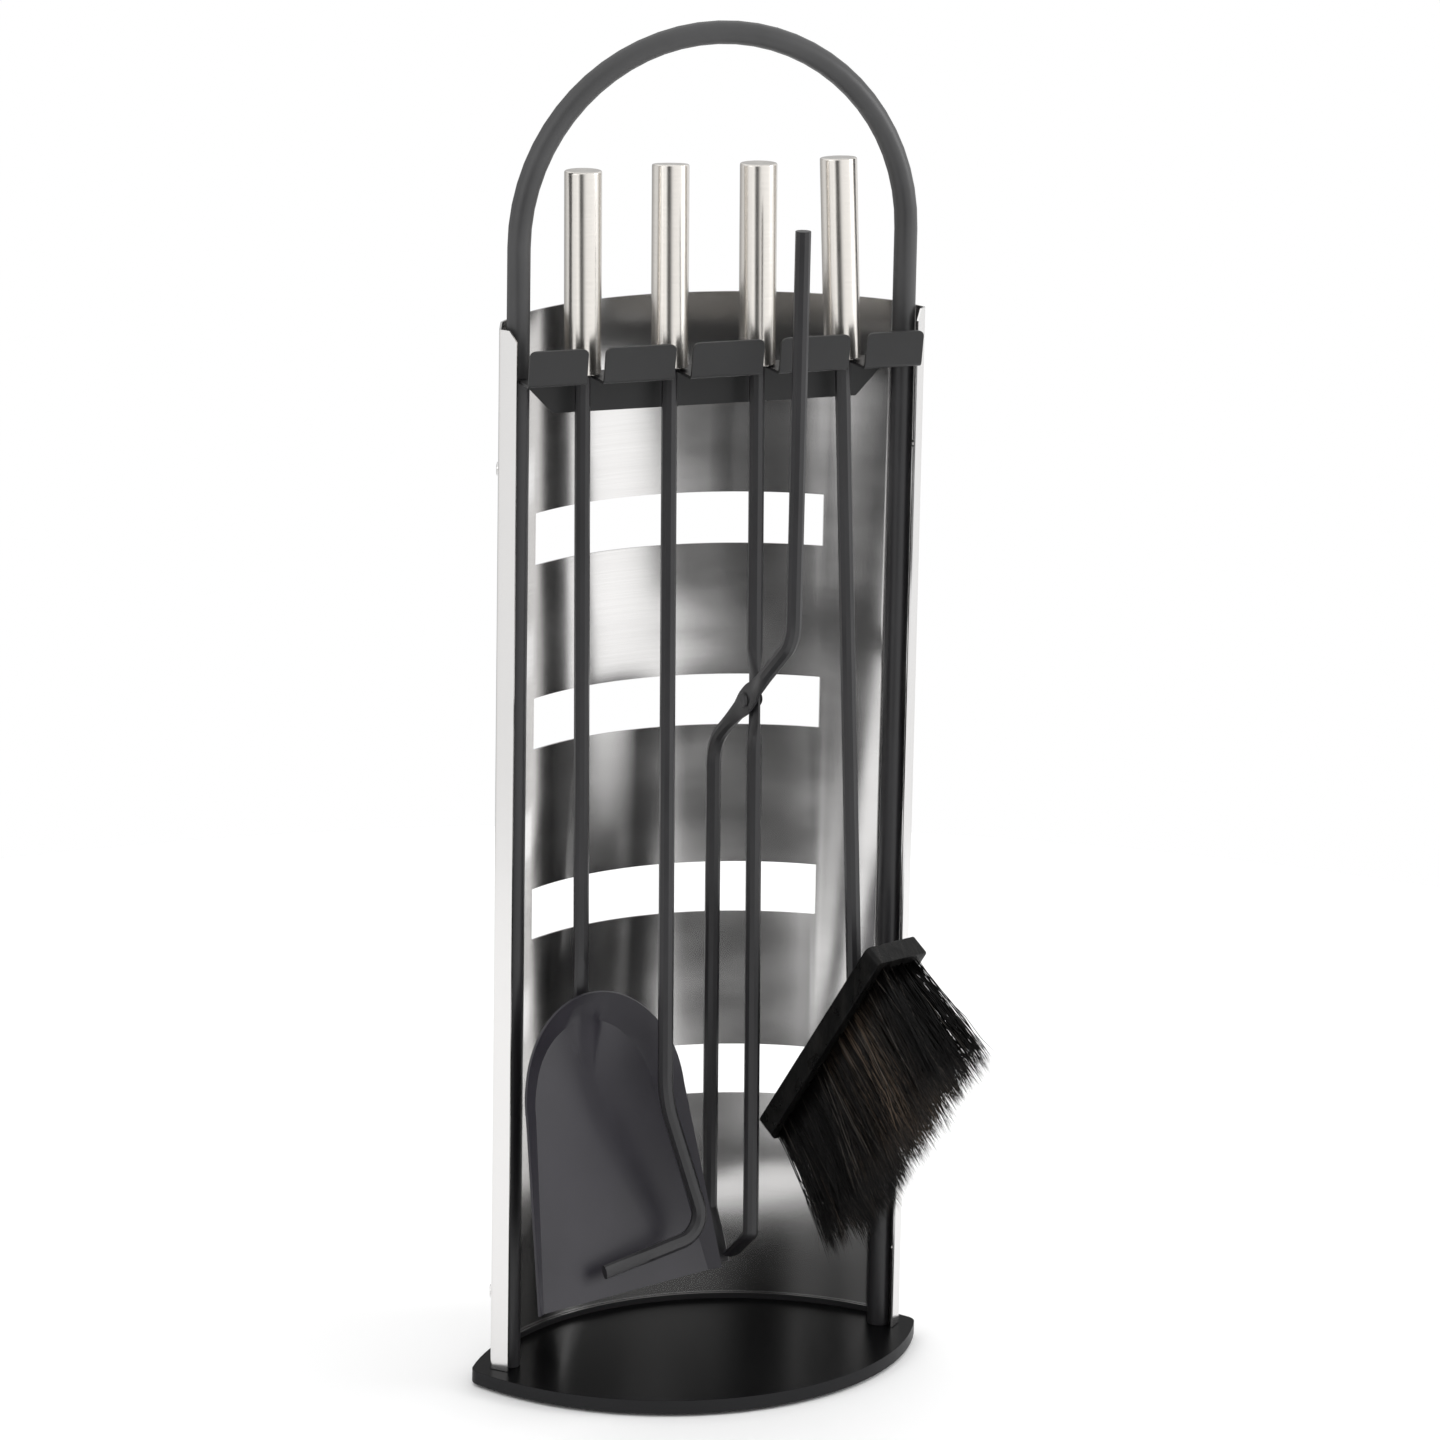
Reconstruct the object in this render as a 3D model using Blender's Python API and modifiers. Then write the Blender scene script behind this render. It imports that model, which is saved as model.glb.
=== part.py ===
"""Fireplace tool set: a stand with an arched carrying handle, a curved steel back panel and a
notched rack, from which a shovel, a poker, a pair of tongs and a hearth brush hang.

Frame: metres, +Z up, the front faces -Y, +X to the right seen from the front. The origin is the
middle of the base, on the surface that the set stands on.
"""

import math

import bmesh
import bpy
from mathutils import Matrix, Vector

GAP = 0.0003                     # clearance kept between pieces that touch

# Base
BASE_BACK_RADIUS = 0.1440
BASE_FRONT_RADIUS = 0.1373
BASE_HALF_DEPTH = 0.0775
BASE_TIP_RADIUS = 0.0080
BASE_TOP = 0.0090
PAD_THICKNESS = 0.0015
PAD_INSET = 0.0060

# Posts and arch
POST_X = 0.1045
POST_Y = 0.0045
TUBE_RADIUS = 0.0060
TUBE_WALL = 0.0012
ARCH_SPRING = 0.6035             # height where the straight legs turn into the half circle

# Back panel
PANEL_RADIUS = 0.1388            # middle of the sheet
PANEL_CENTRE_Y = -0.0665
PANEL_THICKNESS = 0.0010
PANEL_TOP = 0.5627
PANEL_ARC_END_X = 0.1080
PANEL_CORNER = (0.1150, 0.0018)
PANEL_FLANGE_END = (0.1083, -0.0054)
SLOT_HALF_WIDTH = 0.0797
SLOT_HEIGHT = 0.0276
SLOT_TOPS = (0.4563, 0.3579, 0.2550, 0.1532)

# Rack
RACK_THICKNESS = 0.0015
SHELF_TOP = 0.5370
RACK_HALF_WIDTH = 0.1061
RACK_FRONT_Y = -0.0162
RACK_BACK_Y = 0.0143
TAB_TOP = 0.5548
TAB_LEAN = math.radians(9.0)
FLANGE_LOW = 0.5157
NOTCH_X = (-0.0705, -0.0238, 0.0238, 0.0705)
NOTCH_HALF_WIDTH = 0.0046
NOTCH_END_Y = 0.0092

# Tools
HANG_Y = 0.0030                  # where the rods pass through the rack
ROD_RADIUS = 0.0040
HANDLE_RADIUS = 0.0095
HANDLE_WALL = 0.0012
HANDLE_LENGTH = 0.1030
ROD_IN_HANDLE = 0.0600
BUSH_LENGTH = 0.0140

# Shovel
SHOVEL_HANG = (1.3, -0.10, 20.5)  # degrees: forward, sideways, turned about the rod
SHOVEL_ROD_LENGTH = 0.3520
SHOVEL_ROD_END = (0.056, 0.42, 1.25)  # flattened end: reach, thickness left, width gained
SHOVEL_TILT = math.radians(15.0)
SHOVEL_CROWN_DROP = 0.3227
SHOVEL_CROWN_AHEAD = 0.0071
RIB_DROP = 0.0036                # how far the pressed rib's top lies below the crown
BLADE_LENGTH = 0.1570
BLADE_HALF_WIDTH = 0.0620
BLADE_SHOULDER_HALF_WIDTH = 0.0530
BLADE_SHOULDER = 0.1000
BLADE_THICKNESS = 0.0012
BLADE_WALL_SLOPE = math.radians(37.0)

# Poker
POKER_HANG = (5.75, 1.52, 14.8)
POKER_ROD_LENGTH = 0.3775
POKER_KICK = (0.0266, 0.0742)    # aside and down, from the bend to the elbow
POKER_HOOK = (0.0640, 0.0132)    # aside and down, from the elbow to the tip
POKER_BENDS = (0.070, 0.014)     # radii
POKER_TIP = (0.030, 0.55, 0.98)

# Tongs
TONGS_HANG = (1.86, 0.0, 9.0)
PIVOT_DROP = 0.1745              # below the shelf
MAIN_ARM_BEND = (0.0, 0.0, -0.4640)
MAIN_CLAW = (0.0, 0.0200, -0.4800)
CRANK = ((0.0, -0.0530, 0.2505), (0.0, -0.0470, 0.0398), (0.0, 0.0345, -0.0292),
         (0.0, 0.0362, -0.2835), (0.0, 0.0240, -0.3110))  # from the pivot, top to claw
CRANK_BENDS = (0.022, 0.026, 0.007)
CLAW_FLAT = (0.034, 0.50, 1.35)
ARM_OFFSET = 0.0045              # between the middles of the two arms, along the rivet
ARM_FLAT = 0.45                  # share of the rod's thickness left where an arm is flattened
RIVET_RADIUS = 0.0025
RIVET_HEAD_RADIUS = 0.0040

# Brush
BRUSH_HANG = (4.08, -0.92, 23.5)
BRUSH_ROD_LENGTH = 0.3373
BRUSH_ANGLE = math.radians(38.0)
BLOCK_LENGTH = 0.1400
BLOCK_WIDTH = 0.0365
BLOCK_THICKNESS = 0.0118
BLOCK_ROD_FROM_TOP = 0.0450
LOW_CHAMFER = 0.0055              # on the corners of the block's lower end
HIGH_CHAMFER = 0.0016
BRISTLE_ROOTS = (0.0280, 0.1320)  # across and along the block
BRISTLE_TIPS = (0.0420, 0.1420)
BRISTLE_LENGTH = 0.0675
BRISTLE_SAG = 0.0090             # how far the tips hang towards the block's lower end


# ---------------------------------------------------------------- scene and materials

def empty_scene():
    for old in list(bpy.data.objects):
        bpy.data.objects.remove(old, do_unlink=True)


def new_collection(name):
    collection = bpy.data.collections.new(name)
    bpy.context.scene.collection.children.link(collection)
    return collection


empty_scene()
PARTS = new_collection("fireplace_tool_set")
CUTTERS = new_collection("cutters")


def material(name, colour, roughness, metallic):
    made = bpy.data.materials.new(name)
    made.use_nodes = True
    shader = made.node_tree.nodes["Principled BSDF"]
    shader.inputs["Base Color"].default_value = (*colour, 1.0)
    shader.inputs["Roughness"].default_value = roughness
    shader.inputs["Metallic"].default_value = metallic
    return made


BLACK = material("black_powder_coat", (0.035, 0.035, 0.038), 0.45, 0.0)
STEEL = material("brushed_stainless", (0.62, 0.61, 0.60), 0.30, 1.0)
ZINC = material("plated_steel", (0.50, 0.50, 0.52), 0.35, 1.0)
WOOD = material("black_stained_wood", (0.020, 0.018, 0.018), 0.50, 0.0)
HAIR = material("dark_bristle", (0.020, 0.014, 0.011), 0.80, 0.0)
RUBBER = material("black_rubber", (0.015, 0.015, 0.015), 0.85, 0.0)


# ---------------------------------------------------------------- building helpers

def place(obj, finish, parent=None, collection=PARTS):
    """Puts a new object in its collection, with its material and parent."""
    for old in list(obj.users_collection):
        old.objects.unlink(obj)
    collection.objects.link(obj)
    if finish is not None:
        obj.data.materials.clear()
        obj.data.materials.append(finish)
    if parent is not None:
        obj.parent = parent
    return obj


def smooth(obj, angle=35.0):
    obj.data.shade_smooth()
    obj.data.set_sharp_from_angle(angle=math.radians(angle))


def from_bmesh(name, bm, finish, parent=None, collection=PARTS):
    mesh = bpy.data.meshes.new(name)
    bm.to_mesh(mesh)
    bm.free()
    return place(bpy.data.objects.new(name, mesh), finish, parent, collection)


def to_mesh(curve_obj, name, finish, parent=None, collection=PARTS):
    """Turns a curve object into a mesh object with welded caps."""
    bpy.context.view_layer.update()
    graph = bpy.context.evaluated_depsgraph_get()
    mesh = bpy.data.meshes.new_from_object(curve_obj.evaluated_get(graph))
    bm = bmesh.new()
    bm.from_mesh(mesh)
    bmesh.ops.remove_doubles(bm, verts=bm.verts, dist=0.00002)
    bmesh.ops.recalc_face_normals(bm, faces=bm.faces)
    bm.to_mesh(mesh)
    bm.free()
    where = curve_obj.matrix_world.copy()
    bpy.data.objects.remove(curve_obj, do_unlink=True)
    mesh.name = name
    obj = bpy.data.objects.new(name, mesh)
    obj.matrix_world = where
    return place(obj, finish, parent, collection)


def rounded(corners, radii, steps=6):
    """A path through corners, with an arc of the given radius at each inner corner."""
    corners = [Vector(corner) for corner in corners]
    path = [corners[0]]
    for before, corner, after, radius in zip(corners, corners[1:], corners[2:], radii):
        back = (before - corner).normalized()
        ahead = (after - corner).normalized()
        half = back.angle(ahead) / 2.0
        reach = radius / math.tan(half)
        middle = corner + (back + ahead).normalized() * (radius / math.sin(half))
        start = (corner + back * reach - middle).normalized()
        end = (corner + ahead * reach - middle).normalized()
        for step in range(steps + 1):
            path.append(middle + start.slerp(end, step / steps) * radius)
    path.append(corners[-1])
    return path


def densify(path, centre, reach, step):
    """Adds points along the path's straight runs where they pass within reach of centre."""
    dense = [path[0]]
    for start, end in zip(path, path[1:]):
        count = max(1, round((end - start).length / step))
        for index in range(1, count):
            point = start.lerp(end, index / count)
            if (point - centre).length < reach:
                dense.append(point)
        dense.append(end)
    return dense


def rod(name, path, radius, finish, parent=None, collection=PARTS, resolution=3):
    """A round bar along a path, with flat ends."""
    curve = bpy.data.curves.new(name, "CURVE")
    curve.dimensions = "3D"
    curve.bevel_depth = radius
    curve.bevel_resolution = resolution
    curve.use_fill_caps = True
    spline = curve.splines.new("POLY")
    spline.points.add(len(path) - 1)
    for point, position in zip(spline.points, path):
        point.co = (*position, 1.0)
    curve_obj = bpy.data.objects.new(name, curve)
    bpy.context.scene.collection.objects.link(curve_obj)
    obj = to_mesh(curve_obj, name, finish, parent, collection)
    smooth(obj)
    return obj


def plate(name, outline, thickness, low, finish, parent=None, collection=PARTS):
    """A flat plate from an outline in X and Y, its underside at the height low."""
    curve = bpy.data.curves.new(name, "CURVE")
    curve.dimensions = "2D"
    curve.fill_mode = "BOTH"
    curve.extrude = thickness / 2.0
    spline = curve.splines.new("POLY")
    spline.points.add(len(outline) - 1)
    for point, (x, y) in zip(spline.points, outline):
        point.co = (x, y, 0.0, 1.0)
    spline.use_cyclic_u = True
    curve_obj = bpy.data.objects.new(name, curve)
    curve_obj.location = (0.0, 0.0, low + thickness / 2.0)
    bpy.context.scene.collection.objects.link(curve_obj)
    return to_mesh(curve_obj, name, finish, parent, collection)


def turned(name, profile, finish, parent=None, steps=32, collection=PARTS, closed=False):
    """Spins a profile of (radius, height) points, listed from the top down its outer side."""
    bm = bmesh.new()
    verts = [bm.verts.new((radius, 0.0, height)) for radius, height in profile]
    for start, end in zip(verts, verts[1:]):
        bm.edges.new((start, end))
    if closed:
        bm.edges.new((verts[-1], verts[0]))
    obj = from_bmesh(name, bm, finish, parent, collection)
    screw = obj.modifiers.new("turn", "SCREW")
    screw.steps = steps
    screw.render_steps = steps
    screw.use_merge_vertices = True
    screw.merge_threshold = 0.00001
    screw.use_smooth_shade = False
    bpy.context.view_layer.update()
    graph = bpy.context.evaluated_depsgraph_get()
    mesh = bpy.data.meshes.new_from_object(obj.evaluated_get(graph))
    obj.modifiers.remove(screw)
    obj.data = mesh
    mesh.name = name
    smooth(obj)
    return obj


def ribbon(name, path, direction, thickness, finish, parent=None):
    """Bent sheet: the path swept along a direction and given a thickness about its middle."""
    bm = bmesh.new()
    verts = [bm.verts.new(point) for point in path]
    edges = [bm.edges.new(pair) for pair in zip(verts, verts[1:])]
    swept = bmesh.ops.extrude_edge_only(bm, edges=edges)
    moved = [item for item in swept["geom"] if isinstance(item, bmesh.types.BMVert)]
    bmesh.ops.translate(bm, verts=moved, vec=direction)
    bmesh.ops.recalc_face_normals(bm, faces=bm.faces)
    obj = from_bmesh(name, bm, finish, parent)
    sheet = obj.modifiers.new("sheet", "SOLIDIFY")
    sheet.thickness = thickness
    sheet.offset = 0.0
    sheet.use_even_offset = True
    return obj


def cutter_box(name, low, high):
    bm = bmesh.new()
    bmesh.ops.create_cube(bm, size=1.0)
    size = Vector(high) - Vector(low)
    bmesh.ops.scale(bm, verts=bm.verts, vec=size)
    bmesh.ops.translate(bm, verts=bm.verts, vec=(Vector(low) + Vector(high)) / 2.0)
    return as_cutter(from_bmesh(name, bm, None, None, CUTTERS))


def cutter_cylinder(name, start, end, radius, sides=24):
    axis = Vector(end) - Vector(start)
    turn = axis.to_track_quat("Z", "Y").to_matrix().to_4x4()
    bm = bmesh.new()
    bmesh.ops.create_cone(bm, cap_ends=True, segments=sides, radius1=radius, radius2=radius,
                          depth=axis.length)
    bmesh.ops.transform(bm, matrix=turn, verts=bm.verts)
    bmesh.ops.translate(bm, verts=bm.verts, vec=(Vector(start) + Vector(end)) / 2.0)
    return as_cutter(from_bmesh(name, bm, None, None, CUTTERS))


def as_cutter(obj):
    obj.hide_render = True
    obj.display_type = "WIRE"
    return obj


def boolean(obj, other, operation="DIFFERENCE"):
    modifier = obj.modifiers.new(operation.lower(), "BOOLEAN")
    modifier.operation = operation
    modifier.solver = "EXACT"
    modifier.object = other


def round_edges(obj, width, segments=2, angle=50.0):
    bevel = obj.modifiers.new("round_edges", "BEVEL")
    bevel.width = width
    bevel.segments = segments
    bevel.limit_method = "ANGLE"
    bevel.angle_limit = math.radians(angle)


def arc(centre, radius, start, end, steps):
    """Points in X and Y on an arc, angles in radians from +X."""
    for step in range(steps + 1):
        angle = start + (end - start) * step / steps
        yield (centre[0] + radius * math.cos(angle), centre[1] + radius * math.sin(angle))


# ---------------------------------------------------------------- stand

def lens_outline(inset):
    """The base's plan: a deep arc at the back, one at the front, and round tips."""
    front_centre = -BASE_HALF_DEPTH + BASE_FRONT_RADIUS
    back_centre = BASE_HALF_DEPTH - BASE_BACK_RADIUS
    front_radius = BASE_FRONT_RADIUS - inset
    back_radius = BASE_BACK_RADIUS - inset
    tip_radius = BASE_TIP_RADIUS - inset / 2.0
    # The tip circle touches both arcs from inside.
    to_front = front_radius - tip_radius
    to_back = back_radius - tip_radius
    apart = front_centre - back_centre
    rise = (to_back ** 2 - to_front ** 2 + apart ** 2) / (2.0 * apart)
    tip = (math.sqrt(to_back ** 2 - rise ** 2), back_centre + rise)
    back_angle = math.atan2(tip[1] - back_centre, tip[0])
    front_angle = math.atan2(tip[1] - front_centre, tip[0])
    outline = list(arc((0.0, back_centre), back_radius, back_angle, math.pi - back_angle, 40))
    left_tip = (-tip[0], tip[1])
    outline += list(arc(left_tip, tip_radius, math.pi - back_angle, math.pi - front_angle, 8))[1:]
    outline += list(arc((0.0, front_centre), front_radius, math.pi - front_angle,
                        2.0 * math.pi + front_angle, 40))[1:]
    outline += list(arc(tip, tip_radius, front_angle, back_angle, 8))[1:-1]
    return outline


def make_base():
    plate("base_pad", lens_outline(PAD_INSET), PAD_THICKNESS, 0.0, RUBBER)
    low = PAD_THICKNESS + GAP
    base = plate("base_plate", lens_outline(0.0), BASE_TOP - low, low, BLACK)
    round_edges(base, 0.0018, 3)
    for side, x in (("left", -POST_X), ("right", POST_X)):
        sink = turned(f"base_sink_{side}", countersink(), None, None, 24, CUTTERS)
        sink.location = (x, POST_Y, low)
        boolean(base, as_cutter(sink))
        screw = turned(f"post_screw_{side}", screw_profile(), ZINC)
        screw.location = (x, POST_Y, low)
    smooth(base)


def countersink():
    """The hole through the base and the cone that takes the screw's head."""
    return [(0.0, 0.0200), (0.0029, 0.0200), (0.0029, 0.0036), (0.0060, 0.0005),
            (0.0060, -0.0010), (0.0, -0.0010)]


def screw_profile():
    return [(0.0, 0.0190), (0.0020, 0.0190), (0.0025, 0.0184), (0.0025, 0.0033),
            (0.0054, 0.0004), (0.0030, 0.0004), (0.0030, 0.0020), (0.0, 0.0020)]


def make_posts():
    inner = TUBE_RADIUS - TUBE_WALL
    low = BASE_TOP + GAP
    high = SHELF_TOP - RACK_THICKNESS - GAP
    for side, x in (("left", -POST_X), ("right", POST_X)):
        outline = [(TUBE_RADIUS, high), (TUBE_RADIUS, low), (inner, low), (inner, high)]
        post = turned(f"post_{side}", outline, BLACK, None, 32, PARTS, True)
        post.location = (x, POST_Y, 0.0)
        plug_top = low + 0.0150
        plug = turned(f"post_plug_{side}",
                      [(inner - GAP, plug_top), (inner - GAP, low), (0.0028, low),
                       (0.0028, plug_top)], ZINC, None, 24, PARTS, True)
        plug.location = (x, POST_Y, 0.0)
        spigot = turned(f"joint_spigot_{side}",
                        [(0.0, 0.0300), (inner - 0.0008, 0.0300), (inner - GAP, 0.0292),
                         (inner - GAP, -0.0292), (inner - 0.0008, -0.0300), (0.0, -0.0300)],
                        ZINC, None, 24)
        spigot.location = (x, POST_Y, SHELF_TOP)


def make_arch():
    foot = SHELF_TOP + GAP
    path = [Vector((-POST_X, POST_Y, foot))]
    for step in range(33):
        angle = math.pi - math.pi * step / 32
        path.append(Vector((POST_X * math.cos(angle), POST_Y,
                            ARCH_SPRING + POST_X * math.sin(angle))))
    path.append(Vector((POST_X, POST_Y, foot)))
    arch = rod("arch_handle", path, TUBE_RADIUS, BLACK, None, PARTS, 4)
    down = Vector((0.0, 0.0, 0.002))
    bore_path = [path[0] - down] + path[1:-1] + [path[-1] - down]
    bore = rod("arch_bore", bore_path, TUBE_RADIUS - TUBE_WALL, None, None, CUTTERS, 3)
    boolean(arch, as_cutter(bore))


def panel_path():
    """Plan of the back panel: one deep arc, steeper ends, and a flange folded to the front."""
    end = math.acos(PANEL_ARC_END_X / PANEL_RADIUS)
    back = [Vector((x, y + PANEL_CENTRE_Y, 0.0))
            for x, y in arc((0.0, 0.0), PANEL_RADIUS, end, math.pi - end, 48)]
    fold = rounded([back[0], (*PANEL_CORNER, 0.0), (*PANEL_FLANGE_END, 0.0)], [0.0016], 4)
    right = list(reversed(fold[1:]))
    left = [Vector((-point.x, point.y, 0.0)) for point in fold[1:]]
    return right + back + left


def make_panel():
    foot = BASE_TOP + GAP
    path = [point + Vector((0.0, 0.0, foot)) for point in panel_path()]
    panel = ribbon("back_panel", path, (0.0, 0.0, PANEL_TOP - foot), PANEL_THICKNESS, STEEL)
    for number, top in enumerate(SLOT_TOPS, 1):
        slot = cutter_box(f"slot_{number}", (-SLOT_HALF_WIDTH, 0.02, top - SLOT_HEIGHT),
                          (SLOT_HALF_WIDTH, 0.10, top))
        boolean(panel, slot)
    for side, sign in (("left", -1.0), ("right", 1.0)):
        # The flange's inner top corner is cut off at a slant.
        corner = cutter_box(f"flange_corner_{side}", (-0.012, -0.006, 0.0), (0.0, 0.006, 0.02))
        edge = Vector((sign * (PANEL_FLANGE_END[0] + 0.0032), PANEL_FLANGE_END[1] + 0.0034,
                       PANEL_TOP + 0.0004))
        spread = Matrix.Rotation(math.radians(37.0), 4, "Y")
        turn = Matrix.Rotation(math.radians(47.0 if sign > 0 else 133.0), 4, "Z")
        corner.matrix_world = Matrix.Translation(edge) @ turn @ spread @ \
            Matrix.Translation((0.0, 0.0, -0.012))
        boolean(panel, corner)
        for level, height in (("low", 0.050), ("high", 0.490)):
            make_panel_screw(panel, side, sign, level, height)
    smooth(panel)


def make_panel_screw(panel, side, sign, level, height):
    """A thin-head screw holds the panel's steep end to the post beside it."""
    run = (Vector(PANEL_CORNER) - Vector((PANEL_ARC_END_X, arc_end_y()))).normalized()
    outward = Vector((-run.y, run.x, 0.0))
    outward.x = abs(outward.x)
    outward.y = abs(outward.y)
    post = Vector((POST_X, POST_Y, height))
    to_sheet = (Vector((*PANEL_CORNER, height)) - post).dot(outward)
    seat = post + outward * (to_sheet + PANEL_THICKNESS / 2.0 + GAP)
    seat.x *= sign
    outward.x *= sign
    place_along = outward.to_track_quat("Z", "Y").to_matrix().to_4x4()
    frame = Matrix.Translation(seat) @ place_along
    shank = 0.0052
    screw = turned(f"panel_screw_{side}_{level}",
                   [(0.0, 0.0007), (0.0024, 0.0007), (0.0034, 0.0004), (0.0036, 0.0),
                    (0.0015, 0.0), (0.0015, -shank), (0.0, -shank)], ZINC, None, 24)
    screw.matrix_world = frame
    hole = cutter_cylinder(f"panel_hole_{side}_{level}", frame @ Vector((0.0, 0.0, 0.004)),
                           frame @ Vector((0.0, 0.0, -0.0058)), 0.0018)
    boolean(panel, hole)
    post_obj = PARTS.objects[f"post_{side}"]
    local_hole = cutter_cylinder(f"post_side_hole_{side}_{level}",
                                 frame @ Vector((0.0, 0.0, 0.0)),
                                 frame @ Vector((0.0, 0.0, -0.0075)), 0.0018)
    boolean(post_obj, local_hole)


def arc_end_y():
    return PANEL_CENTRE_Y + math.sqrt(PANEL_RADIUS ** 2 - PANEL_ARC_END_X ** 2)


def make_seat_rail():
    """A low curved rail on the base that keeps the panel's foot in place."""
    radius = PANEL_RADIUS - PANEL_THICKNESS / 2.0 - GAP - 0.0008
    reach = math.radians(50.5)
    path = [Vector((x, y + PANEL_CENTRE_Y, BASE_TOP + GAP)) for x, y in
            arc((0.0, 0.0), radius, math.pi / 2.0 - reach, math.pi / 2.0 + reach, 36)]
    rail = ribbon("panel_seat_rail", path, (0.0, 0.0, 0.0030), 0.0016, BLACK)
    smooth(rail)


def make_rack():
    """Folded sheet: upturned tabs at the front, a shelf, and a flange bent down at the back."""
    middle = SHELF_TOP - RACK_THICKNESS / 2.0
    lean = (TAB_TOP - middle) * math.tan(TAB_LEAN)
    side = -RACK_HALF_WIDTH
    path = rounded([(side, RACK_FRONT_Y - lean, TAB_TOP), (side, RACK_FRONT_Y, middle),
                    (side, RACK_BACK_Y, middle), (side, RACK_BACK_Y, FLANGE_LOW)],
                   [0.0022, 0.0022], 4)
    rack = ribbon("tool_rack", path, (2.0 * RACK_HALF_WIDTH, 0.0, 0.0), RACK_THICKNESS, BLACK)
    low = SHELF_TOP - RACK_THICKNESS
    for number, x in enumerate(NOTCH_X, 1):
        boolean(rack, as_cutter(tab_gap(f"tab_gap_{number}", x)))
        slot = [(x + NOTCH_HALF_WIDTH, -0.05), (x + NOTCH_HALF_WIDTH, NOTCH_END_Y)]
        slot += list(arc((x, NOTCH_END_Y), NOTCH_HALF_WIDTH, 0.0, math.pi, 10))[1:]
        slot += [(x - NOTCH_HALF_WIDTH, -0.05)]
        notch = plate(f"notch_{number}", slot, 0.0040, low - 0.0012, None, None, CUTTERS)
        boolean(rack, as_cutter(notch))
    for name, sign in (("left", -1.0), ("right", 1.0)):
        ear = turned(f"ear_{name}", [(0.0, SHELF_TOP), (0.0068, SHELF_TOP), (0.0068, low),
                                     (0.0, low)], None, None, 32, CUTTERS)
        ear.location = (sign * POST_X, POST_Y, 0.0)
        boolean(rack, as_cutter(ear), "UNION")
        hole = cutter_cylinder(f"ear_hole_{name}", (sign * POST_X, POST_Y, low - 0.002),
                               (sign * POST_X, POST_Y, SHELF_TOP + 0.002),
                               TUBE_RADIUS - TUBE_WALL)
        boolean(rack, hole)
        boolean(rack, as_cutter(rear_corner(f"rear_corner_{name}", sign)))
        boolean(rack, as_cutter(tab_end(f"tab_end_{name}", sign)))
    smooth(rack)


def upright_cutter(name, outline, front, back):
    """A cutter from an outline in X and Z that runs from front to back along Y."""
    cutter = plate(name, outline, back - front, 0.0, None, None, CUTTERS)
    turn = Matrix.Rotation(math.radians(90.0), 4, "X")
    cutter.data.transform(Matrix.Translation((0.0, back, 0.0)) @ turn @
                          Matrix.Translation(cutter.location))
    cutter.location = (0.0, 0.0, 0.0)
    return cutter


def tab_gap(name, x):
    """The gap between two tabs, flared at the top into their round corners."""
    corner = 0.0030
    low = SHELF_TOP - 0.0028
    right = [(x + NOTCH_HALF_WIDTH, low), (x + NOTCH_HALF_WIDTH, TAB_TOP - corner)]
    right += [(x + NOTCH_HALF_WIDTH + corner - corner * math.cos(angle),
               TAB_TOP - corner + corner * math.sin(angle))
              for angle in (math.radians(22.5), math.radians(45.0), math.radians(67.5))]
    right += [(x + NOTCH_HALF_WIDTH + corner, TAB_TOP),
              (x + NOTCH_HALF_WIDTH + corner, TAB_TOP + 0.01)]
    left = [(2.0 * x - px, pz) for px, pz in reversed(right)]
    return upright_cutter(name, right + left, -0.04, RACK_FRONT_Y + 0.006)


def tab_end(name, sign):
    """Rounds the top corner at a rack end."""
    corner = 0.0030
    centre = (RACK_HALF_WIDTH - corner, TAB_TOP - corner)
    outline = list(arc(centre, corner, 0.0, math.pi / 2.0, 6))
    outline += [(centre[0], TAB_TOP + 0.01), (RACK_HALF_WIDTH + 0.01, TAB_TOP + 0.01),
                (RACK_HALF_WIDTH + 0.01, centre[1])]
    return upright_cutter(name, [(sign * px, pz) for px, pz in outline], -0.04, 0.0)


def rear_corner(name, sign):
    """Cuts the rear flange's end at a slant."""
    outline = [(0.1000, SHELF_TOP + 0.005), (0.1000, 0.5340), (0.0826, FLANGE_LOW),
               (0.0780, FLANGE_LOW - 0.0054), (0.1300, FLANGE_LOW - 0.0054),
               (0.1300, SHELF_TOP + 0.005)]
    return upright_cutter(name, [(sign * px, pz) for px, pz in outline],
                          RACK_BACK_Y - 0.0028, RACK_BACK_Y + 0.01)


# ---------------------------------------------------------------- tools

def hanger(name, x, lean):
    """The empty that a tool hangs from: its rod runs down its own -Z from the shelf's top."""
    forward, sideways, turn = lean
    empty = bpy.data.objects.new(name, None)
    PARTS.objects.link(empty)
    empty.matrix_world = Matrix.Translation((x, HANG_Y, SHELF_TOP)) @ \
        Matrix.Rotation(math.radians(-forward), 4, "X") @ \
        Matrix.Rotation(math.radians(sideways), 4, "Y") @ \
        Matrix.Rotation(math.radians(turn), 4, "Z")
    return empty


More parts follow.
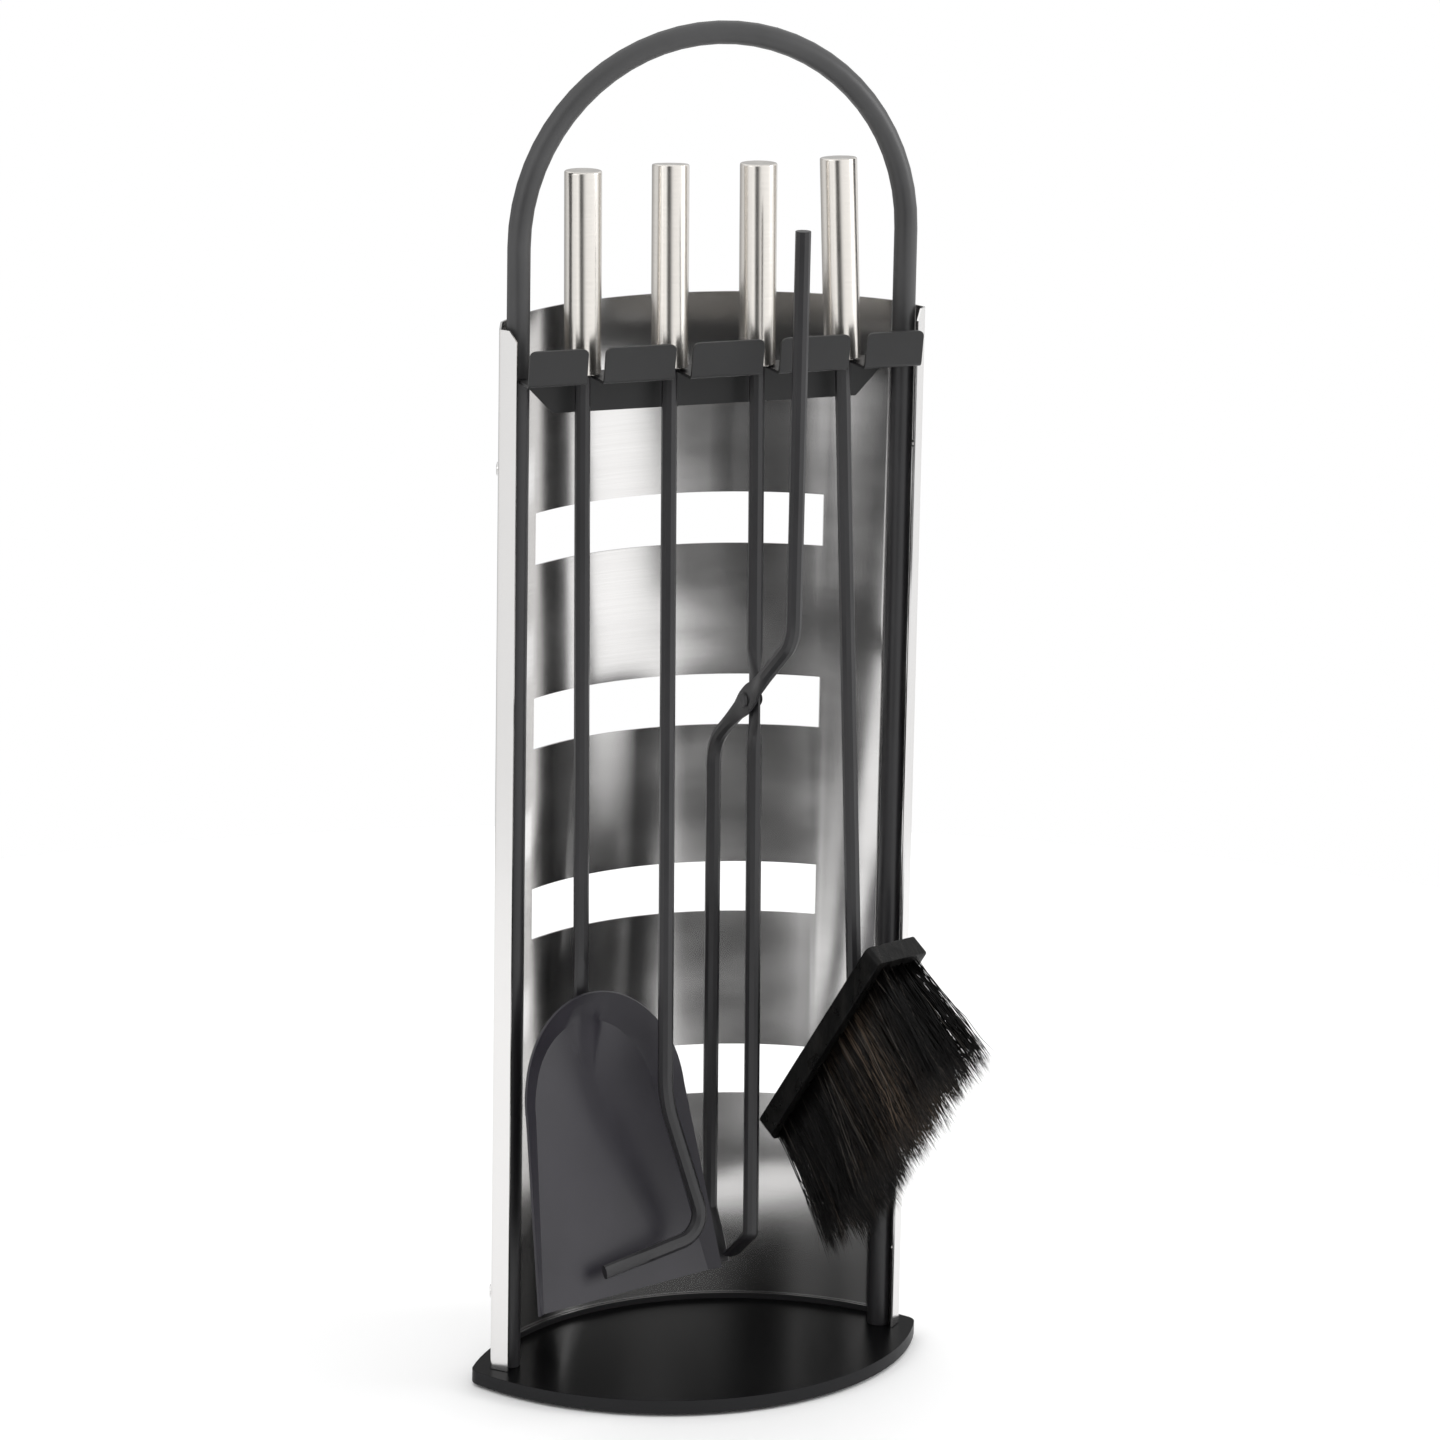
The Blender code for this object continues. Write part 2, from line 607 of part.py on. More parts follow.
def make_handle(tool, hang, lift):
    """Stainless grip, closed at the top, with the bush in its mouth that holds the rod."""
    top = lift + HANDLE_LENGTH
    inner = HANDLE_RADIUS - HANDLE_WALL
    rim = 0.0009
    edge = [(HANDLE_RADIUS - rim + rim * math.sin(angle), top - rim + rim * math.cos(angle))
            for angle in (0.0, math.pi / 6.0, math.pi / 3.0, math.pi / 2.0)]
    turned(f"{tool}_handle", [(0.0, top)] + edge + [(HANDLE_RADIUS, lift + 0.0004),
           (HANDLE_RADIUS - 0.0004, lift), (inner, lift), (inner, top - 0.0020),
           (0.0, top - 0.0020)], STEEL, hang, 40)
    low = lift + 0.0006
    turned(f"{tool}_handle_bush", [(inner - GAP, low + BUSH_LENGTH), (inner - GAP, low),
           (ROD_RADIUS + GAP, low), (ROD_RADIUS + GAP, low + BUSH_LENGTH)], BLACK, hang, 32,
           PARTS, True)


def make_shovel():
    hang = hanger("shovel_hang", NOTCH_X[0], SHOVEL_HANG)
    make_handle("shovel", hang, 0.0009)
    end = Vector((0.0, 0.0, -SHOVEL_ROD_LENGTH))
    path = densify([Vector((0.0, 0.0, ROD_IN_HANDLE)), end], end, 0.070, 0.004)
    shaft = rod("shovel_rod", path, ROD_RADIUS, BLACK, hang)
    squash(shaft, end, Vector((1.0, 0.0, 0.0)), Vector((0.0, 1.0, 0.0)), *SHOVEL_ROD_END)
    up = Vector((0.0, math.sin(SHOVEL_TILT), math.cos(SHOVEL_TILT)))
    facing = Vector((0.0, -math.cos(SHOVEL_TILT), math.sin(SHOVEL_TILT)))
    # Blade frame: X across, Y up the blade, Z out of its hollow face, origin at its bottom edge.
    turn = Matrix((Vector((1.0, 0.0, 0.0)), up, facing)).transposed().to_4x4()
    crown = Vector((0.0, -SHOVEL_CROWN_AHEAD, -SHOVEL_CROWN_DROP))
    foot = crown - up * BLADE_LENGTH - facing * wall_rise(BLADE_LENGTH)
    make_blade(hang, Matrix.Translation(foot) @ turn)


def wall_border(height):
    """How wide the flared wall is, from the bottom of the blade to its crown."""
    return 0.0060 + 0.0082 * min(1.0, height / 0.120)


def wall_rise(height):
    return wall_border(height) * math.tan(BLADE_WALL_SLOPE)


def blade_half_width(height):
    if height < BLADE_SHOULDER:
        share = height / BLADE_SHOULDER
        return BLADE_HALF_WIDTH + (BLADE_SHOULDER_HALF_WIDTH - BLADE_HALF_WIDTH) * share
    share = (height - BLADE_SHOULDER) / (BLADE_LENGTH - BLADE_SHOULDER)
    return BLADE_SHOULDER_HALF_WIDTH * math.sqrt(max(0.0, 1.0 - share * share))


def blade_outline():
    """The rim in the blade's plane, from the bottom right up and over to the bottom left."""
    heights = [BLADE_SHOULDER * step / 6 for step in range(7)]
    arch = [BLADE_SHOULDER + (BLADE_LENGTH - BLADE_SHOULDER) * math.sin(math.pi * step / 44)
            for step in range(1, 23)]
    right = [(blade_half_width(height), height) for height in heights + arch]
    left = [(-x, y) for x, y in reversed(right[:-1])]
    return right + left


def rod_channel(x, y):
    """The rib pressed into the top of the blade, whose hollow back takes the rod's end."""
    ridge = wall_rise(BLADE_LENGTH) - RIB_DROP - (BLADE_LENGTH - y) * math.tan(SHOVEL_TILT)
    aside = min(1.0, max(0.0, (abs(x) - 0.0062) / 0.0055))
    return ridge * (0.5 + 0.5 * math.cos(math.pi * aside))


def make_blade(hang, frame):
    """A shallow scoop: a flat face with walls that flare forward all round but at the bottom."""
    rim = blade_outline()
    rings = []
    for share in (1.0, 0.66, 0.33, 0.10, 0.0, -0.15):
        ring = []
        for index, (x, y) in enumerate(rim):
            before = Vector(rim[max(index - 1, 0)])
            after = Vector(rim[min(index + 1, len(rim) - 1)])
            inward = Vector((-(after - before).y, (after - before).x)).normalized()
            point = Vector((x, y)) + inward * wall_border(y) * (1.0 - share)
            if index in (0, len(rim) - 1):
                point.y = 0.0
            ring.append(Vector((point.x, max(point.y, 0.0), wall_rise(y) * max(share, 0.0))))
        rings.append(ring)
    spine = [Vector((0.0, min(point.y, BLADE_SHOULDER), 0.0)) for point in rings[-1]]
    edge = rings[-1]
    for share in (0.35, 0.70, 1.0):
        rings.append([start.lerp(end, share) for start, end in zip(edge, spine)])
    bm = bmesh.new()
    grid = []
    for ring in rings:
        for point in ring:
            point.z = max(point.z, rod_channel(point.x, point.y))
        grid.append([bm.verts.new(point) for point in ring])
    for outer, inner in zip(grid, grid[1:]):
        for index in range(len(outer) - 1):
            bm.faces.new((outer[index], outer[index + 1], inner[index + 1], inner[index]))
    bmesh.ops.remove_doubles(bm, verts=bm.verts, dist=0.00005)
    bmesh.ops.recalc_face_normals(bm, faces=bm.faces)
    blade = from_bmesh("shovel_blade", bm, BLACK, hang)
    blade.matrix_local = frame
    sheet = blade.modifiers.new("sheet", "SOLIDIFY")
    sheet.thickness = BLADE_THICKNESS
    sheet.offset = 0.0
    smooth(blade, 30.0)


def make_poker():
    hang = hanger("poker_hang", NOTCH_X[1], POKER_HANG)
    make_handle("poker", hang, 0.0013)
    bend = Vector((0.0, 0.0, -POKER_ROD_LENGTH))
    elbow = bend + Vector((POKER_KICK[0], 0.0, -POKER_KICK[1]))
    tip = elbow + Vector((-POKER_HOOK[0], 0.0, -POKER_HOOK[1]))
    path = rounded([(0.0, 0.0, ROD_IN_HANDLE), bend, elbow, tip], POKER_BENDS, 8)
    path = densify(path, tip, 0.034, 0.003)
    poker = rod("poker_rod", path, ROD_RADIUS, BLACK, hang)
    along = (tip - elbow).normalized()
    across = Vector((-along.z, 0.0, along.x))
    squash(poker, tip, across, Vector((0.0, 1.0, 0.0)), *POKER_TIP)


def squash(obj, centre, across, normal, reach, flat, grow):
    """Flattens a bar near a point: thinner along normal, wider across its own run."""
    for vert in obj.data.vertices:
        offset = vert.co - centre
        distance = math.sqrt(max(offset.length_squared - offset.dot(normal) ** 2, 0.0))
        share = min(1.0, max(0.0, 1.5 - 1.5 * distance / reach))
        share = share * share * (3.0 - 2.0 * share)
        thin = offset.dot(normal) * (flat - 1.0) * share
        wide = offset.dot(across) * (grow - 1.0) * share
        vert.co += normal * thin + across * wide


def make_tongs():
    """Two arms crossing at a rivet: the one with the grip is straight, the other is cranked.
    In the hanger's frame the arms lie in the YZ plane, and the rivet runs along X."""
    hang = hanger("tongs_hang", NOTCH_X[2], TONGS_HANG)
    make_handle("tongs", hang, 0.0006)
    pivot = Vector((0.0, 0.0, -PIVOT_DROP))
    x_axis = Vector((1.0, 0.0, 0.0))
    y_axis = Vector((0.0, 1.0, 0.0))

    claw_a = Vector(MAIN_CLAW)
    path = rounded([(0.0, 0.0, ROD_IN_HANDLE), MAIN_ARM_BEND, claw_a], [0.006], 5)
    path = densify(path, claw_a, 0.022, 0.004)
    path = densify(path, pivot, 0.036, 0.003)
    main = rod("tongs_main_arm", path, ROD_RADIUS, BLACK, hang)
    squash(main, pivot, y_axis, x_axis, 0.028, ARM_FLAT, 1.30)
    squash(main, claw_a, x_axis, Vector((0.0, 0.62, 0.78)), *CLAW_FLAT)

    joint = empty_at("tongs_pivot", hang, pivot + Vector((-ARM_OFFSET, 0.0, 0.0)))
    claw_b = Vector(CRANK[-1])
    path = rounded(CRANK, CRANK_BENDS, 6)
    centre = Vector((0.0, 0.0, 0.0))
    path = densify(path, centre, 0.040, 0.003)
    path = densify(path, claw_b, 0.024, 0.004)
    front = rod("tongs_cranked_arm", path, ROD_RADIUS, BLACK, joint)
    along = (Vector(CRANK[2]) - Vector(CRANK[1])).normalized()
    across = Vector((0.0, -along.z, along.y))
    squash(front, centre, across, x_axis, 0.028, ARM_FLAT, 1.30)
    squash(front, centre, across, x_axis, 0.014, 1.0, 1.35)
    squash(front, claw_b, x_axis, Vector((0.0, 0.91, -0.40)), *CLAW_FLAT)

    reach = 0.02
    for arm, name in ((main, "main"), (front, "cranked")):
        start = pivot - x_axis * reach
        end = pivot + x_axis * reach
        hole = cutter_cylinder(f"{name}_arm_hole", hang.matrix_world @ start,
                               hang.matrix_world @ end, RIVET_RADIUS + GAP)
        boolean(arm, hole)
    half_main = ROD_RADIUS * ARM_FLAT
    far = half_main + GAP
    near = -(ARM_OFFSET + half_main + GAP)
    head = 0.0009
    edge = RIVET_HEAD_RADIUS - 0.0007
    profile = [(0.0, far + head * 0.5), (0.0016, far + head), (edge, far + head * 0.8),
               (RIVET_HEAD_RADIUS, far), (RIVET_RADIUS, far), (RIVET_RADIUS, near),
               (RIVET_HEAD_RADIUS, near), (edge, near - head * 0.8),
               (0.0016, near - head), (0.0, near - head * 0.5)]
    rivet = turned("tongs_rivet", profile, BLACK, hang, 24)
    rivet.matrix_local = Matrix.Translation(pivot) @ Matrix.Rotation(math.pi / 2.0, 4, "Y")


def empty_at(name, parent, location):
    empty = bpy.data.objects.new(name, None)
    PARTS.objects.link(empty)
    empty.parent = parent
    empty.location = location
    return empty


def make_brush():
    """A wooden block set at an angle on its rod, with the bristles on the side away from it."""
    hang = hanger("brush_hang", NOTCH_X[3], BRUSH_HANG)
    make_handle("brush", hang, 0.0011)
    down = Vector((0.0, math.sin(BRUSH_ANGLE), -math.cos(BRUSH_ANGLE)))
    out = Vector((0.0, -math.cos(BRUSH_ANGLE), -math.sin(BRUSH_ANGLE)))
    entry = Vector((0.0, 0.0, -BRUSH_ROD_LENGTH))
    tip = entry + Vector((0.0, 0.0, -0.0080))
    rod("brush_rod", [Vector((0.0, 0.0, ROD_IN_HANDLE)), tip], ROD_RADIUS, BLACK, hang)
    # Block frame: X across, Y down the block, Z out towards the bristles' tips.
    turn = Matrix((Vector((-1.0, 0.0, 0.0)), down, out)).transposed().to_4x4()
    top = entry - down * BLOCK_ROD_FROM_TOP
    block = block_solid(hang, Matrix.Translation(top) @ turn)
    hole = cutter_cylinder("brush_rod_hole", hang.matrix_world @ (tip - Vector((0.0, 0.0, 0.0005))),
                           hang.matrix_world @ (entry + Vector((0.0, 0.0, 0.03))),
                           ROD_RADIUS + GAP)
    boolean(block, hole)
    bristle_solid(hang, Matrix.Translation(top) @ turn)


def block_solid(hang, frame):
    bm = bmesh.new()
    bmesh.ops.create_cube(bm, size=1.0)
    bmesh.ops.scale(bm, verts=bm.verts, vec=(BLOCK_WIDTH, BLOCK_LENGTH, BLOCK_THICKNESS))
    bmesh.ops.translate(bm, verts=bm.verts, vec=(0.0, BLOCK_LENGTH / 2.0, BLOCK_THICKNESS / 2.0))
    for low, chamfer in ((True, LOW_CHAMFER), (False, HIGH_CHAMFER)):
        upright = [edge for edge in bm.edges
                   if abs(edge.verts[0].co.z - edge.verts[1].co.z) > BLOCK_THICKNESS / 2.0
                   and (edge.verts[0].co.y > BLOCK_LENGTH / 2.0) == low]
        bmesh.ops.bevel(bm, geom=upright, offset=chamfer, segments=1, affect="EDGES")
    block = from_bmesh("brush_block", bm, WOOD, hang)
    block.matrix_local = frame
    round_edges(block, 0.0009, 2, 30.0)
    return block


def bristle_solid(hang, frame):
    """The tuft as one plain solid, a little wider at its tips than at the block."""
    bm = bmesh.new()
    bmesh.ops.create_cube(bm, size=1.0)
    for vert in bm.verts:
        tips = vert.co.z > 0.0
        across, along = BRISTLE_TIPS if tips else BRISTLE_ROOTS
        vert.co.x *= across
        vert.co.y = BLOCK_LENGTH / 2.0 + vert.co.y * along
        vert.co.y += BRISTLE_SAG if tips else 0.0
        vert.co.z = BLOCK_THICKNESS + (BRISTLE_LENGTH if tips else GAP)
    bristles = from_bmesh("brush_bristles", bm, HAIR, hang)
    bristles.matrix_local = frame


make_base()
make_posts()
make_arch()
make_panel()
make_seat_rail()
make_rack()
make_shovel()
make_poker()
make_tongs()
make_brush()
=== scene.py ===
"""Looks of the fireplace tool set: satin black powder coat, brushed stainless steel, a black painted
brush block and its hair, in a plain white studio. Metres, +Z up, the front faces -Y."""

import math
import random

import bmesh
import bpy
from mathutils import Matrix, Vector


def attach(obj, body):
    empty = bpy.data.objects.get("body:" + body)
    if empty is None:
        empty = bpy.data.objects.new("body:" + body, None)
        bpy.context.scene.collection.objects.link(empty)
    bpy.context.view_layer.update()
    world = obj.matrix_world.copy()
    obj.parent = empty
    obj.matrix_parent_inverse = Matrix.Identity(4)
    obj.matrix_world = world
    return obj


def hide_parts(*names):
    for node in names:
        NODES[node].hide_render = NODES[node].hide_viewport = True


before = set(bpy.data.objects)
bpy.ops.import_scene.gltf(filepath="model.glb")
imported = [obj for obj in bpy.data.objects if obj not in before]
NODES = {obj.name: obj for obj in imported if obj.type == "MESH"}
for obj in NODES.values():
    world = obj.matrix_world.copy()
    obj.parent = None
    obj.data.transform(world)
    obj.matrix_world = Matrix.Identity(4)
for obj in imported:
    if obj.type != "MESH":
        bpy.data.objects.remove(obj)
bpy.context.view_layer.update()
random.seed(7)


# ---------------------------------------------------------------- node helpers

class Shader:
    """A new material with a Principled shader, and short ways to add nodes to it."""

    def __init__(self, name, colour, roughness, metallic=0.0):
        self.material = bpy.data.materials.new(name)
        self.material.use_nodes = True
        self.nodes = self.material.node_tree.nodes
        self.links = self.material.node_tree.links
        self.surface = self.nodes["Principled BSDF"]
        self.set("Base Color", (*colour, 1.0))
        self.set("Roughness", roughness)
        self.set("Metallic", metallic)
        self.coordinates = self.nodes.new("ShaderNodeTexCoord").outputs["Object"]

    def set(self, socket, value):
        self.surface.inputs[socket].default_value = value

    def noise(self, stretch, detail=3.0, roughness=0.55):
        """Noise whose features are 1/stretch metres long along X, Y and Z."""
        mapping = self.nodes.new("ShaderNodeMapping")
        mapping.inputs["Scale"].default_value = stretch
        self.links.new(self.coordinates, mapping.inputs["Vector"])
        noise = self.nodes.new("ShaderNodeTexNoise")
        noise.inputs["Scale"].default_value = 1.0
        noise.inputs["Detail"].default_value = detail
        noise.inputs["Roughness"].default_value = roughness
        self.links.new(mapping.outputs["Vector"], noise.inputs["Vector"])
        return noise.outputs["Fac"]

    def spread(self, source, low, high, start=0.3, end=0.7):
        """Maps a value from start..end to low..high."""
        spread = self.nodes.new("ShaderNodeMapRange")
        spread.inputs["From Min"].default_value = start
        spread.inputs["From Max"].default_value = end
        spread.inputs["To Min"].default_value = low
        spread.inputs["To Max"].default_value = high
        self.links.new(source, spread.inputs["Value"])
        return spread.outputs["Result"]

    def ramp(self, source, *stops):
        """Colours along a value: stops of (position, colour)."""
        ramp = self.nodes.new("ShaderNodeValToRGB")
        elements = ramp.color_ramp.elements
        while len(elements) < len(stops):
            elements.new(0.5)
        for element, (position, colour) in zip(elements, stops):
            element.position = position
            element.color = (*colour, 1.0)
        self.links.new(source, ramp.inputs["Fac"])
        return ramp.outputs["Color"]

    def feed(self, source, socket):
        self.links.new(source, self.surface.inputs[socket])

    def bump(self, height, distance, strength=1.0):
        """Adds relief of about the given depth in metres, on top of any added before."""
        bump = self.nodes.new("ShaderNodeBump")
        bump.inputs["Distance"].default_value = distance
        bump.inputs["Strength"].default_value = strength
        self.links.new(height, bump.inputs["Height"])
        before = self.surface.inputs["Normal"]
        if before.is_linked:
            self.links.new(before.links[0].from_socket, bump.inputs["Normal"])
        self.feed(bump.outputs["Normal"], "Normal")


def dress(finish, *names):
    """Gives CAD nodes a finish."""
    for name in names:
        materials = NODES[name].data.materials
        materials.clear()
        materials.append(finish)


# ---------------------------------------------------------------- shading of the CAD nodes

CREASE = math.radians(32.0)       # an edge that turns more than this stays sharp
SAME_POINT = 1e-6


def crease_shading():
    """Node group that shades a mesh smooth between its creases. It moves no point."""
    group = bpy.data.node_groups.new("crease_shading", "GeometryNodeTree")
    group.is_modifier = True
    group.interface.new_socket("Mesh", in_out="INPUT", socket_type="NodeSocketGeometry")
    group.interface.new_socket("Mesh", in_out="OUTPUT", socket_type="NodeSocketGeometry")
    source = group.nodes.new("NodeGroupInput")
    result = group.nodes.new("NodeGroupOutput")
    joined = group.nodes.new("GeometryNodeMergeByDistance")
    joined.inputs["Distance"].default_value = SAME_POINT
    turn = group.nodes.new("GeometryNodeInputMeshEdgeAngle")
    crease = group.nodes.new("ShaderNodeMath")
    crease.operation = "GREATER_THAN"
    crease.inputs[1].default_value = CREASE
    shading = group.nodes.new("GeometryNodeSetMeshNormal")
    shading.mode = "SHARPNESS"
    shading.inputs["Remove Custom"].default_value = True
    shading.inputs["Face Sharpness"].default_value = False
    group.links.new(source.outputs["Mesh"], joined.inputs["Geometry"])
    group.links.new(joined.outputs["Geometry"], shading.inputs["Mesh"])
    group.links.new(turn.outputs["Unsigned Angle"], crease.inputs[0])
    group.links.new(crease.outputs["Value"], shading.inputs["Edge Sharpness"])
    group.links.new(shading.outputs["Mesh"], result.inputs["Mesh"])
    return group


def shade_nodes():
    group = crease_shading()
    for node in NODES.values():
        node.modifiers.new("crease_shading", "NODES").node_group = group
        weighted = node.modifiers.new("flat_faces_first", "WEIGHTED_NORMAL")
        weighted.keep_sharp = True


# ---------------------------------------------------------------- materials

PEEL = 1400.0                     # dimples of the powder coat per metre
PEEL_DEPTH = 0.00005
COAT_CLOUDS = 22.0
CLOUD_SHADE = 0.18                # share by which the clouds darken and lighten a coat


def powder_coat(name, colour, roughness, gloss):
    """Satin powder coat: fine orange peel and a little cloudiness."""
    coat = Shader(name, colour, roughness)
    peel = coat.noise((PEEL, PEEL, PEEL), 2.0)
    cloud = coat.noise((COAT_CLOUDS, COAT_CLOUDS, COAT_CLOUDS), 4.0)
    darker = tuple((1.0 - CLOUD_SHADE) * part for part in colour)
    lighter = tuple((1.0 + CLOUD_SHADE) * part for part in colour)
    coat.feed(coat.ramp(cloud, (0.3, darker), (0.7, lighter)), "Base Color")
    coat.feed(coat.spread(cloud, roughness - 0.04, roughness + 0.05), "Roughness")
    coat.set("Specular IOR Level", gloss)
    coat.bump(peel, PEEL_DEPTH, 0.5)
    return coat.material


BASE_TOP_COLOUR = (0.003, 0.003, 0.0033)
# Painted highlight: the colour of the base plate's edge, paler than its top.
BASE_EDGE_PAINTED_LIGHT = (0.022, 0.022, 0.023)
BASE_GLOSS = 0.045


def base_coat_with_painted_edge_light():
    """The base plate's top is a deep, even black, and its edge is painted a little paler: a painted
    highlight on the edge.
    """
    coat = Shader("base_coat_painted_edge_light", BASE_TOP_COLOUR, 0.34)
    normal = coat.nodes.new("ShaderNodeSeparateXYZ")
    coat.links.new(coat.nodes.new("ShaderNodeNewGeometry").outputs["Normal"], normal.inputs["Vector"])
    # Painted highlight: faces that turn sideways are painted paler than the top.
    coat.feed(coat.ramp(normal.outputs["Z"], (0.45, BASE_EDGE_PAINTED_LIGHT), (0.95, BASE_TOP_COLOUR)),
              "Base Color")
    coat.set("Specular IOR Level", BASE_GLOSS)
    return coat.material


SHEET_WAVES = (9.0, 9.0, 4.0)     # waves per metre
STEEL_CLOUDS = (12.0, 12.0, 30.0)


def brushed_steel(name, light, dark, roughness, along, grain, stretch, waviness):
    """Stainless steel brushed in level lines: grain is lines per metre up the surface, stretch how
    far the lines draw a reflection out upwards and downwards, and waviness the sheet's unevenness
    in metres."""
    steel = Shader(name, light, roughness, 1.0)
    lines = steel.noise((along, along, grain), 3.0, 0.6)
    cloud = steel.noise(STEEL_CLOUDS, 3.0)
    steel.feed(steel.ramp(lines, (0.25, dark), (0.75, light)), "Base Color")
    steel.feed(steel.spread(cloud, roughness - 0.02, roughness + 0.03), "Roughness")
    if waviness > 0.0:
        steel.bump(steel.noise(SHEET_WAVES, 0.0), waviness)
    tangent = steel.nodes.new("ShaderNodeTangent")
    tangent.direction_type = "RADIAL"
    tangent.axis = "Z"
    steel.feed(tangent.outputs["Tangent"], "Tangent")
    steel.set("Anisotropic", stretch)
    steel.set("Anisotropic Rotation", 0.25)
    return steel.material


def plated_steel():
    plate = Shader("plated_steel", (0.52, 0.52, 0.54), 0.32, 1.0)
    plate.feed(plate.spread(plate.noise((500.0, 500.0, 500.0)), 0.24, 0.42), "Roughness")
    return plate.material


WOOD_DARK = (0.004, 0.004, 0.004)
WOOD_PALE = (0.015, 0.014, 0.013)
WOOD_GLOSS = 0.12


def painted_wood():
    """Black paint over wood: the grain shows as shallow streaks that catch the light."""
    wood = Shader("black_painted_wood", (0.008, 0.008, 0.008), 0.30)
    grain = wood.noise((420.0, 60.0, 60.0), 5.0, 0.6)
    blotch = wood.noise((90.0, 90.0, 90.0), 4.0)
    wood.feed(wood.ramp(grain, (0.45, WOOD_DARK), (0.80, WOOD_PALE)), "Base Color")
    wood.feed(wood.spread(blotch, 0.16, 0.52), "Roughness")
    wood.bump(blotch, 0.0010, 0.5)
    wood.bump(grain, 0.0005, 0.6)
    wood.set("Specular IOR Level", WOOD_GLOSS)
    return wood.material


def rubber_foam():
    rubber = Shader("black_rubber", (0.018, 0.018, 0.018), 0.85)
    rubber.bump(rubber.noise((1600.0, 1600.0, 1600.0), 4.0), 0.0003, 0.8)
    return rubber.material


def hair_finish():
    """Hair whose colour is stored strand by strand."""
    hair = Shader("dark_hair", (0.012, 0.010, 0.009), 0.38)
    tint = hair.nodes.new("ShaderNodeVertexColor")
    tint.layer_name = "tint"
    hair.feed(tint.outputs["Color"], "Base Color")
    hair.set("Specular IOR Level", 0.22)
    return hair.material


BLACK = powder_coat("black_powder_coat", (0.017, 0.0165, 0.018), 0.38, 0.48)
# Painted light: the arch gets a paler copy of the black coat, standing in for the light it catches.
ARCH_PAINTED_LIGHT_BLACK = powder_coat("arch_coat_painted_light", (0.042, 0.042, 0.043), 0.42, 0.50)
RACK_BLACK = powder_coat("rack_powder_coat", (0.019, 0.019, 0.0195), 0.48, 0.40)
BASE_BLACK = base_coat_with_painted_edge_light()
BLADE_BLACK = powder_coat("blade_powder_coat", (0.0205, 0.0188, 0.0245), 0.36, 0.45)
PANEL_STEEL = brushed_steel("panel_steel", (0.80, 0.79, 0.785), (0.73, 0.72, 0.71), 0.15, 9.0, 3200.0,
                            0.60, 0.0012)
GRIP_STEEL = brushed_steel("grip_steel", (0.76, 0.73, 0.69), (0.69, 0.66, 0.62), 0.24, 60.0, 3600.0,
                           0.40, 0.0)
ZINC = plated_steel()
WOOD = painted_wood()
RUBBER = rubber_foam()
HAIR = hair_finish()


def dress_frame():
    for name in NODES:
        dress(BLACK, name)
        if name.endswith("_handle") and name != "arch_handle":
            dress(GRIP_STEEL, name)
        if name.startswith(("post_screw", "post_plug", "joint_spigot")):
            dress(ZINC, name)
        if name.startswith("panel_screw"):
            dress(PANEL_STEEL, name)
    dress(PANEL_STEEL, "back_panel")
    dress(RACK_BLACK, "tool_rack")
    dress(BASE_BLACK, "base_plate")
    dress(ARCH_PAINTED_LIGHT_BLACK, "arch_handle")
    dress(BLADE_BLACK, "shovel_blade")
    dress(RUBBER, "base_pad")
    dress(WOOD, "brush_block")


# ---------------------------------------------------------------- brush hair

TUFT_ROWS = 5
TUFTS_IN_ROW = 26
HAIRS_IN_TUFT = 40
HAIR_RADIUS = 0.00026
HAIR_JOINTS = 5
HAIR_LOW = 0.055
HAIR_HIGH = 0.0675
HAIR_SAG = 0.0050
HAIR_WAVE = 0.0013                # how far a hair strays from its own curve at its tip
STRAY_HAIRS = 90
STRAY_COLOUR = (0.060, 0.045, 0.035)
BROWN_MIDDLE = 0.14               # how far up the tuft its brown patch lies, as a share of it
TUFT_FAN = (0.012, 0.008)         # how much wider and longer the tuft is at its tips
TUFT_STRAY = (0.0018, 0.0026)     # spread of the tufts' leaning across and along the block
HAIR_STRAY = (0.0022, 0.0030)     # the same for the hairs of one tuft
ROOT_SPREAD = (0.0011, 0.0013)
ROOT_DEPTH = 0.0002
TUFT_BEND = (0.0008, 0.0032)
BROWN_REACH = 0.28
TAPER = 0.30
BLACK_HAIR = (0.004, 0.0035, 0.0035)
BROWN_HAIR = (0.240, 0.175, 0.125)
# Painted highlight: pale hairs stand in for glints of light on single strands.
PAINTED_GLINT_HAIR = (0.075, 0.066, 0.058)
PAINTED_GLINT_SHARE = 0.06                 # share of the hairs painted pale as glints of light: a painted highlight


